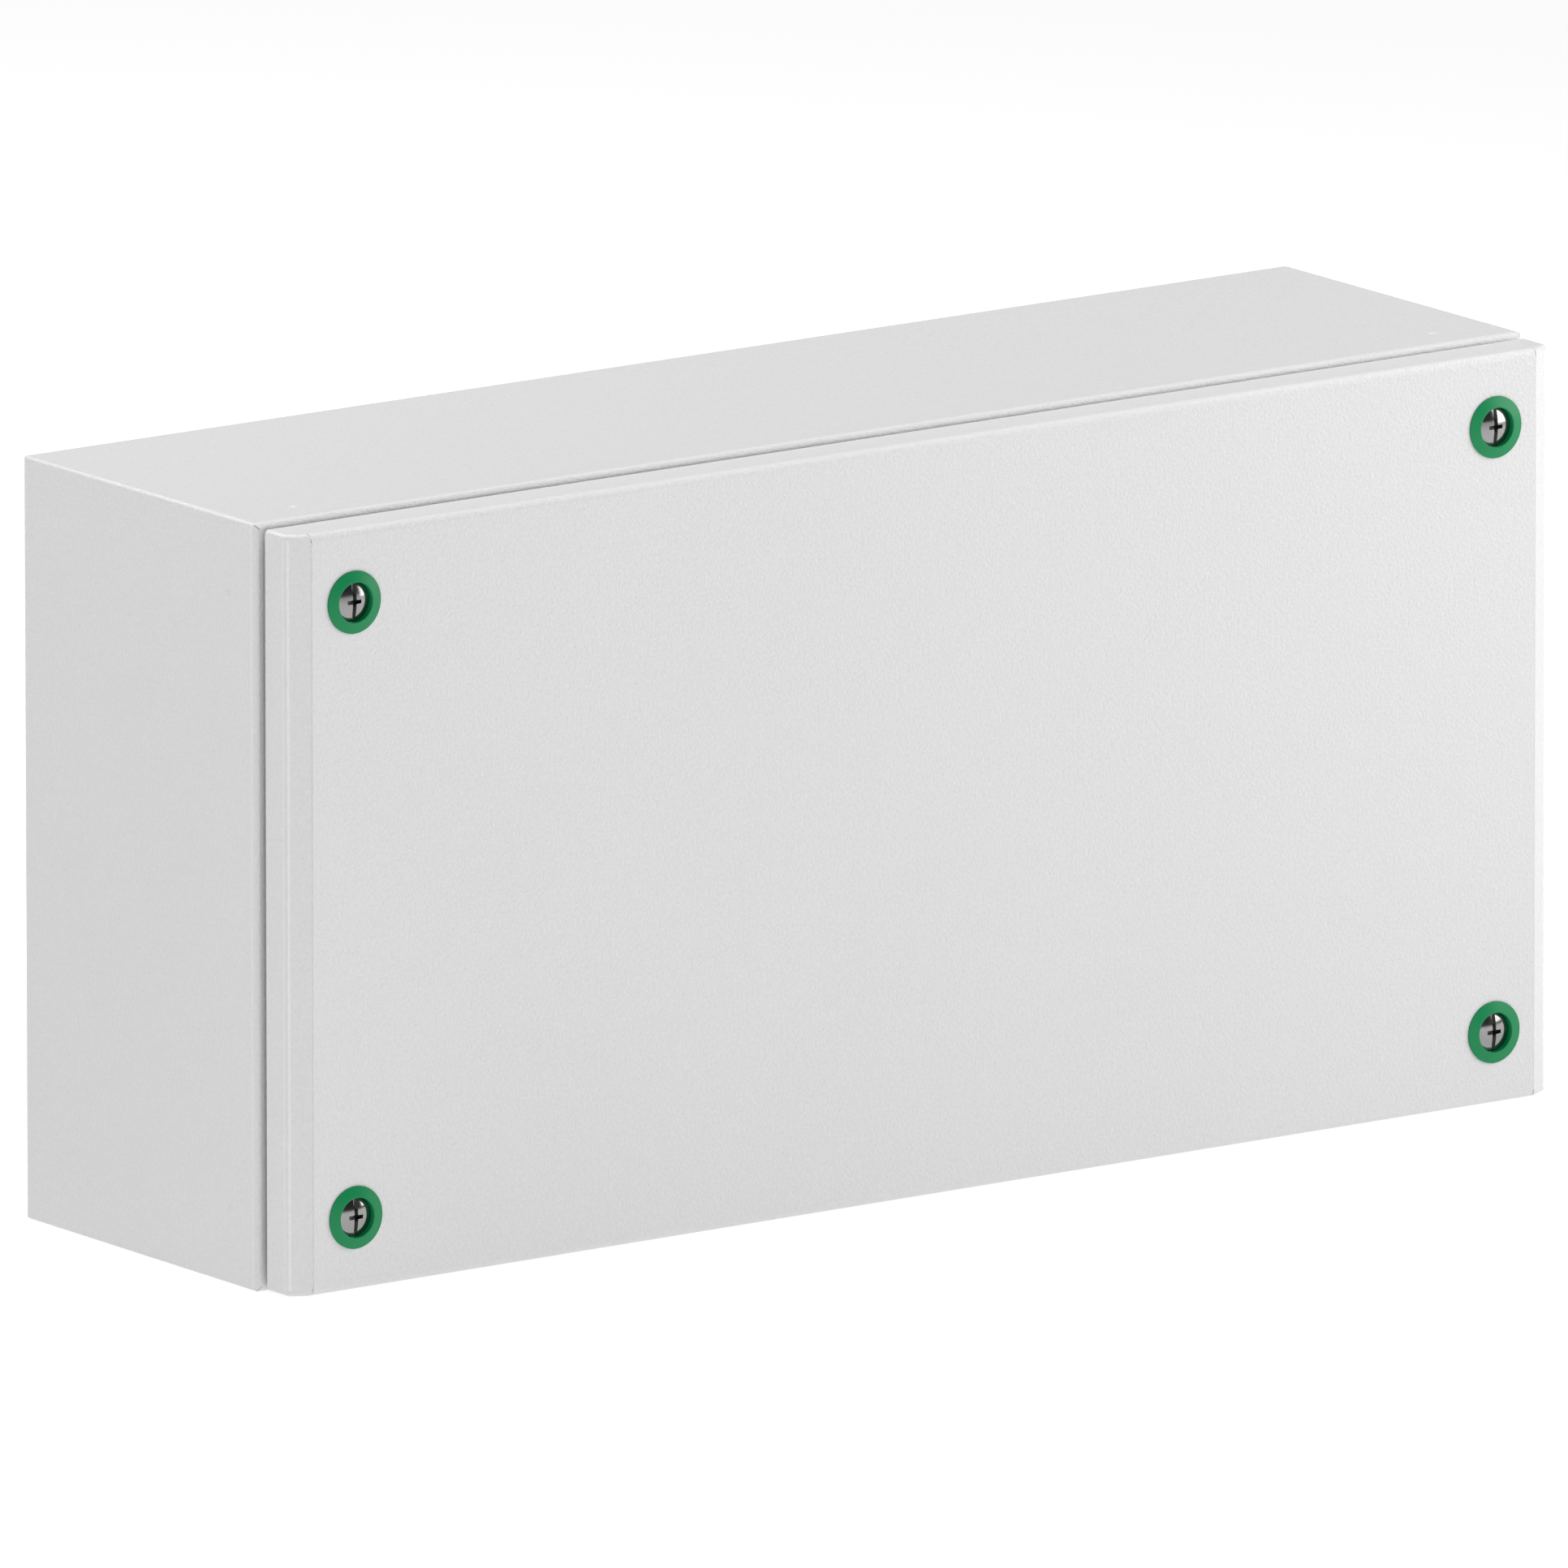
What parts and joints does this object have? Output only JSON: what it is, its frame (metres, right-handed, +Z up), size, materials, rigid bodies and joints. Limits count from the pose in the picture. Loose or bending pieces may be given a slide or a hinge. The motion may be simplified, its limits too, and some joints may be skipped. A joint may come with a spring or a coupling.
{
  "type": "electrical wall cabinet",
  "caption": "Shallow wide steel wall cabinet with a lift-off cover held by captive corner screws in green rings; holds a plate and rail for switchboard equipment.",
  "frame": {"origin": "centre of the back face that lies on the wall", "axes": "+X to the right seen from the front, +Y into the wall (the cover faces -Y), +Z up"},
  "size_m": [0.4, 0.12, 0.2],
  "materials": {
    "painted_steel": "light grey powder coat with a fine grain",
    "zinc_plated_steel": "zinc plated",
    "galvanised_sheet": "galvanised, with a faint spangle",
    "copper_plated_steel": "copper plated",
    "brass": "satin",
    "foam_rubber": "matt foam",
    "green_plastic": "satin",
    "nylon": "matt",
    "stainless_steel": "polished"
  },
  "bodies": {
    "enclosure": {"body_shell": "painted_steel", "corner_bracket_top_left": "zinc_plated_steel", "corner_bracket_top_right": "zinc_plated_steel", "corner_bracket_bottom_left": "zinc_plated_steel", "corner_bracket_bottom_right": "zinc_plated_steel", "thread_inserts": "zinc_plated_steel", "plate_studs": "zinc_plated_steel", "plate_spacers": "zinc_plated_steel", "mounting_plate": "galvanised_sheet", "plate_washers": "zinc_plated_steel", "plate_nuts": "zinc_plated_steel", "mounting_rail": "galvanised_sheet", "rail_screws": "zinc_plated_steel", "earth_stud": "copper_plated_steel", "earth_washer": "zinc_plated_steel", "earth_nut": "brass"},
    "cover": {"cover_panel": "painted_steel", "cover_gasket": "foam_rubber", "screw_ring_top_left": "green_plastic", "screw_ring_top_right": "green_plastic", "screw_ring_bottom_left": "green_plastic", "screw_ring_bottom_right": "green_plastic", "cover_earth_stud": "copper_plated_steel", "cover_earth_washer": "zinc_plated_steel", "cover_earth_nut": "brass"},
    "retainer_top_left": {"screw_retainer_top_left": "nylon"},
    "screw_top_left": {"cover_screw_top_left": "stainless_steel"},
    "retainer_top_right": {"screw_retainer_top_right": "nylon"},
    "screw_top_right": {"cover_screw_top_right": "stainless_steel"},
    "retainer_bottom_left": {"screw_retainer_bottom_left": "nylon"},
    "screw_bottom_left": {"cover_screw_bottom_left": "stainless_steel"},
    "retainer_bottom_right": {"screw_retainer_bottom_right": "nylon"},
    "screw_bottom_right": {"cover_screw_bottom_right": "stainless_steel"}
  },
  "joints": [
    {"name": "cover_lift_off", "type": "slide", "parent": "enclosure", "child": "cover", "axis": [0, -1, 0], "range_m": [0, 0.1]},
    {"name": "screw_top_left_feed", "type": "slide", "parent": "cover", "child": "retainer_top_left", "axis": [0, -1, 0], "range_m": [0, 0.008]},
    {"name": "screw_top_left_turn", "type": "hinge", "parent": "retainer_top_left", "child": "screw_top_left", "pos_m": [-0.18, -0.119, 0.08], "axis": [0, -1, 0], "range_deg": [0, 3600]},
    {"name": "screw_top_right_feed", "type": "slide", "parent": "cover", "child": "retainer_top_right", "axis": [0, -1, 0], "range_m": [0, 0.008]},
    {"name": "screw_top_right_turn", "type": "hinge", "parent": "retainer_top_right", "child": "screw_top_right", "pos_m": [0.18, -0.119, 0.08], "axis": [0, -1, 0], "range_deg": [0, 3600]},
    {"name": "screw_bottom_left_feed", "type": "slide", "parent": "cover", "child": "retainer_bottom_left", "axis": [0, -1, 0], "range_m": [0, 0.008]},
    {"name": "screw_bottom_left_turn", "type": "hinge", "parent": "retainer_bottom_left", "child": "screw_bottom_left", "pos_m": [-0.18, -0.119, -0.08], "axis": [0, -1, 0], "range_deg": [0, 3600]},
    {"name": "screw_bottom_right_feed", "type": "slide", "parent": "cover", "child": "retainer_bottom_right", "axis": [0, -1, 0], "range_m": [0, 0.008]},
    {"name": "screw_bottom_right_turn", "type": "hinge", "parent": "retainer_bottom_right", "child": "screw_bottom_right", "pos_m": [0.18, -0.119, -0.08], "axis": [0, -1, 0], "range_deg": [0, 3600]}
  ],
  "couplings": [
    {"joint": "screw_top_left_turn", "follows": "screw_top_left_feed", "rad_per_m": 7854},
    {"joint": "screw_top_right_turn", "follows": "screw_top_right_feed", "rad_per_m": 7854},
    {"joint": "screw_bottom_left_turn", "follows": "screw_bottom_left_feed", "rad_per_m": 7854},
    {"joint": "screw_bottom_right_turn", "follows": "screw_bottom_right_feed", "rad_per_m": 7854}
  ]
}
